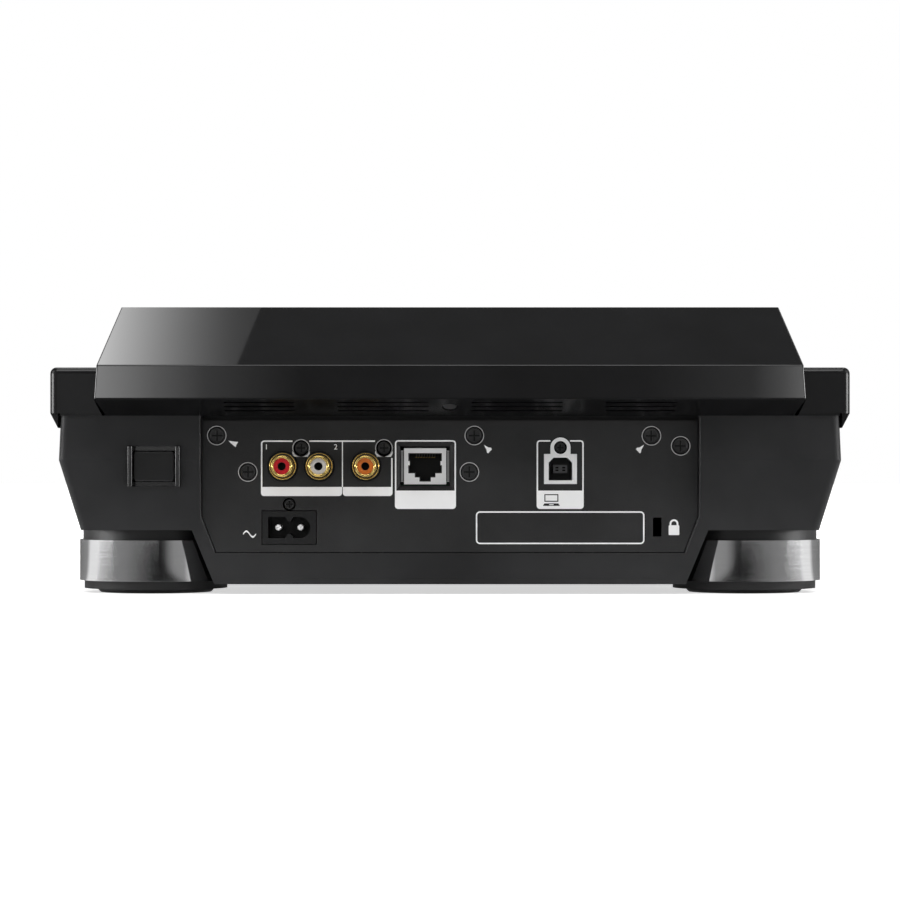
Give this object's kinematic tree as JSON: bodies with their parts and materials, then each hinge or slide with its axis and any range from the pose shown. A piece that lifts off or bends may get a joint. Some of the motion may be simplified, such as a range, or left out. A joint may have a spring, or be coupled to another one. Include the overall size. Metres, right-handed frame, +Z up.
{
  "type": "dj media player",
  "caption": "Low desktop media player on round feet with a raised screen hood, turning jog wheel, tempo slider, push keys and a rear jack panel for audio, network, computer and mains.",
  "frame": {"origin": "on the table under the middle of the whole object", "axes": "+Y from the user's front edge to the rear jack panel, +Z up, +X to the user's right"},
  "size_m": [0.308, 0.388, 0.112],
  "materials": {
    "case_plastic": "fine texture",
    "deck_plastic": "satin",
    "hood_gloss": "glossy",
    "panel_paint": "fine texture",
    "black_screw": "satin",
    "black_plastic": "satin",
    "guard_plastic": "glossy",
    "gold_plate": "polished",
    "red_plastic": "glossy",
    "white_plastic": "glossy",
    "orange_plastic": "glossy",
    "bright_shield": "tinned",
    "board_green": "solder mask",
    "pad_rubber": "matte",
    "ring_metal": "turned, polished",
    "display_glass": "polished",
    "display_panel": "glossy",
    "control_plastic": "satin",
    "key_plastic": "satin",
    "round_key_plastic": "satin",
    "jog_rim": "satin",
    "jog_plate": "spun"
  },
  "bodies": {
    "player": {"lower_case": "case_plastic", "top_deck": "deck_plastic", "screen_hood": "hood_gloss", "rear_jack_panel": "panel_paint", "panel_screws": "black_screw", "case_screws": "black_screw", "power_button_guard": "guard_plastic", "power_switch": "black_plastic", "rca_block": "black_plastic", "rca_sleeves": "gold_plate", "rca_red_insert": "red_plastic", "rca_white_insert": "white_plastic", "rca_orange_insert": "orange_plastic", "link_jack_shield": "bright_shield", "link_jack_insert": "black_plastic", "usb_socket_shield": "bright_shield", "usb_socket_insert": "black_plastic", "ac_inlet": "black_plastic", "ac_inlet_pins": "bright_shield", "main_board": "board_green", "power_supply_board": "board_green", "foot_pads": "pad_rubber", "foot_rings": "ring_metal", "foot_collars": "black_plastic", "display_glass": "display_glass", "display_module": "display_panel", "hood_boards": "board_green", "usb_drive_socket": "bright_shield", "deck_board": "board_green", "tempo_fader": "black_plastic", "jog_spindle": "black_plastic", "jog_bearing": "bright_shield", "jog_display": "display_panel"},
    "jog_platter": {"jog_platter": "jog_rim"},
    "jog_top_plate": {"jog_top_plate": "jog_plate"},
    "power_button": {"power_button": "black_plastic"},
    "tempo_slider_cap": {"tempo_slider_cap": "control_plastic"},
    "browse_knob": {"browse_knob": "control_plastic"},
    "jog_feel_knob": {"jog_feel_knob": "control_plastic"},
    "direction_lever": {"direction_lever": "control_plastic"},
    "hot_cue_key_1": {"hot_cue_key_1": "key_plastic"},
    "hot_cue_key_2": {"hot_cue_key_2": "key_plastic"},
    "hot_cue_key_3": {"hot_cue_key_3": "key_plastic"},
    "hot_cue_key_4": {"hot_cue_key_4": "key_plastic"},
    "loop_exit_button": {"loop_exit_button": "key_plastic"},
    "loop_out_button": {"loop_out_button": "key_plastic"},
    "loop_in_button": {"loop_in_button": "key_plastic"},
    "sync_button": {"sync_button": "key_plastic"},
    "key_lock_button": {"key_lock_button": "key_plastic"},
    "search_back_button": {"search_back_button": "key_plastic"},
    "search_forward_button": {"search_forward_button": "key_plastic"},
    "track_back_button": {"track_back_button": "key_plastic"},
    "track_forward_button": {"track_forward_button": "key_plastic"},
    "back_button": {"back_button": "key_plastic"},
    "browse_button": {"browse_button": "key_plastic"},
    "menu_button": {"menu_button": "key_plastic"},
    "play_button": {"play_button": "round_key_plastic"},
    "cue_button": {"cue_button": "round_key_plastic"}
  },
  "joints": [
    {"name": "jog_spin", "type": "hinge", "parent": "player", "child": "jog_platter", "pos_m": [0, -0.07999, 0.0877], "axis": [0, 0, 1], "continuous": true},
    {"name": "jog_touch", "type": "slide", "parent": "jog_platter", "child": "jog_top_plate", "axis": [0, 0, -1], "range_m": [0, 0.0005], "stiffness_N_per_m": 3000, "springref_m": -0.0008},
    {"name": "power_press", "type": "slide", "parent": "player", "child": "power_button", "axis": [0, -1, 0], "range_m": [0, 0.0025], "stiffness_N_per_m": 300, "springref_m": -0.002},
    {"name": "tempo_slide", "type": "slide", "parent": "player", "child": "tempo_slider_cap", "axis": [0, 1, 0], "range_m": [-0.05001, 0.05001]},
    {"name": "browse_turn", "type": "hinge", "parent": "player", "child": "browse_knob", "pos_m": [0.1053, 0.09341, 0.09918], "axis": [0, -0.2037, 0.979], "continuous": true},
    {"name": "jog_feel_turn", "type": "hinge", "parent": "player", "child": "jog_feel_knob", "pos_m": [0.12605, -0.00397, 0.0877], "axis": [0, 0, 1], "range_deg": [-140, 140]},
    {"name": "direction_flip", "type": "hinge", "parent": "player", "child": "direction_lever", "pos_m": [-0.12605, -0.00397, 0.0817], "axis": [1, 0, 0], "range_deg": [-14, 14]},
    {"name": "hot_cue_pad_1_press", "type": "slide", "parent": "player", "child": "hot_cue_key_1", "axis": [0, 0, -1], "range_m": [0, 0.0012], "stiffness_N_per_m": 250, "springref_m": -0.001},
    {"name": "hot_cue_pad_2_press", "type": "slide", "parent": "player", "child": "hot_cue_key_2", "axis": [0, 0, -1], "range_m": [0, 0.0012], "stiffness_N_per_m": 250, "springref_m": -0.001},
    {"name": "hot_cue_pad_3_press", "type": "slide", "parent": "player", "child": "hot_cue_key_3", "axis": [0, 0, -1], "range_m": [0, 0.0012], "stiffness_N_per_m": 250, "springref_m": -0.001},
    {"name": "hot_cue_pad_4_press", "type": "slide", "parent": "player", "child": "hot_cue_key_4", "axis": [0, 0, -1], "range_m": [0, 0.0012], "stiffness_N_per_m": 250, "springref_m": -0.001},
    {"name": "loop_exit_press", "type": "slide", "parent": "player", "child": "loop_exit_button", "axis": [0, 0, -1], "range_m": [0, 0.0012], "stiffness_N_per_m": 250, "springref_m": -0.001},
    {"name": "loop_out_press", "type": "slide", "parent": "player", "child": "loop_out_button", "axis": [0, 0, -1], "range_m": [0, 0.0012], "stiffness_N_per_m": 250, "springref_m": -0.001},
    {"name": "loop_in_press", "type": "slide", "parent": "player", "child": "loop_in_button", "axis": [0, 0, -1], "range_m": [0, 0.0012], "stiffness_N_per_m": 250, "springref_m": -0.001},
    {"name": "sync_press", "type": "slide", "parent": "player", "child": "sync_button", "axis": [0, 0, -1], "range_m": [0, 0.0012], "stiffness_N_per_m": 250, "springref_m": -0.001},
    {"name": "key_lock_press", "type": "slide", "parent": "player", "child": "key_lock_button", "axis": [0, 0, -1], "range_m": [0, 0.0012], "stiffness_N_per_m": 250, "springref_m": -0.001},
    {"name": "search_back_press", "type": "slide", "parent": "player", "child": "search_back_button", "axis": [0, 0, -1], "range_m": [0, 0.0012], "stiffness_N_per_m": 250, "springref_m": -0.001},
    {"name": "search_forward_press", "type": "slide", "parent": "player", "child": "search_forward_button", "axis": [0, 0, -1], "range_m": [0, 0.0012], "stiffness_N_per_m": 250, "springref_m": -0.001},
    {"name": "track_back_press", "type": "slide", "parent": "player", "child": "track_back_button", "axis": [0, 0, -1], "range_m": [0, 0.0012], "stiffness_N_per_m": 250, "springref_m": -0.001},
    {"name": "track_forward_press", "type": "slide", "parent": "player", "child": "track_forward_button", "axis": [0, 0, -1], "range_m": [0, 0.0012], "stiffness_N_per_m": 250, "springref_m": -0.001},
    {"name": "back_press", "type": "slide", "parent": "player", "child": "back_button", "axis": [0, 0.2037, -0.979], "range_m": [0, 0.0012], "stiffness_N_per_m": 250, "springref_m": -0.001},
    {"name": "browse_press", "type": "slide", "parent": "player", "child": "browse_button", "axis": [0, 0.2037, -0.979], "range_m": [0, 0.0012], "stiffness_N_per_m": 250, "springref_m": -0.001},
    {"name": "menu_press", "type": "slide", "parent": "player", "child": "menu_button", "axis": [0, 0.2037, -0.979], "range_m": [0, 0.0012], "stiffness_N_per_m": 250, "springref_m": -0.001},
    {"name": "play_press", "type": "slide", "parent": "player", "child": "play_button", "axis": [0, 0, -1], "range_m": [0, 0.0012], "stiffness_N_per_m": 250, "springref_m": -0.001},
    {"name": "cue_press", "type": "slide", "parent": "player", "child": "cue_button", "axis": [0, 0, -1], "range_m": [0, 0.0012], "stiffness_N_per_m": 250, "springref_m": -0.001}
  ]
}
